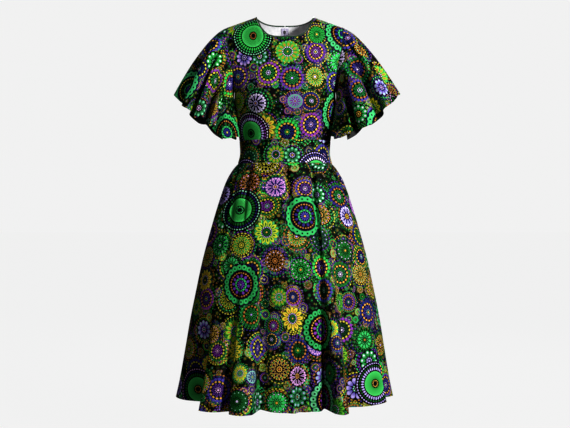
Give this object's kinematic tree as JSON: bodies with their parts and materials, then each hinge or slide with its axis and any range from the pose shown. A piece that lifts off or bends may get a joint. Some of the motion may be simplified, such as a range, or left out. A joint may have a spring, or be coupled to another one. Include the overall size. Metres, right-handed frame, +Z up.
{
  "type": "flutter dress worn open with no wearer",
  "caption": "Knee-length flutter dress filled out as worn: round neck, wide waistband, flared folded skirt, fluted sleeves and a back zip.",
  "frame": {"origin": "midway between the two shoulder seams at mid length, where the wearer's shoulders carry the dress", "axes": "+Z up; the front faces -Y; +X is the wearer's left"},
  "size_m": [0.7033, 0.5212, 1.2038],
  "materials": {
    "printed_cloth": "printed polyester crepe with a slight sheen",
    "edging": "narrow satin bias binding",
    "zip_tape": "woven tape, matt",
    "zip_coil": "nylon coil",
    "zip_metal": "nickel-plated die casting"
  },
  "bodies": {
    "dress": {"bodice_front": "printed_cloth", "bodice_back_left": "printed_cloth", "bodice_back_right": "printed_cloth", "waistband_front": "printed_cloth", "waistband_back_left": "printed_cloth", "waistband_back_right": "printed_cloth", "skirt_front": "printed_cloth", "skirt_back_left": "printed_cloth", "skirt_back_right": "printed_cloth", "sleeve_left": "printed_cloth", "sleeve_right": "printed_cloth", "neck_binding_front": "edging", "neck_binding_back_left": "edging", "neck_binding_back_right": "edging", "zip_tape_left": "zip_tape", "zip_tape_right": "zip_tape", "zip_coil": "zip_coil", "zip_stop": "zip_metal", "zip_slider": "zip_metal"},
    "pull_tab": {"zip_pull": "zip_metal"}
  },
  "joints": [
    {"name": "pull_tab_swing", "type": "hinge", "parent": "dress", "child": "pull_tab", "pos_m": [0, 0.06508, -0.01471], "axis": [1, 0, 0], "range_deg": [0, 150]}
  ]
}
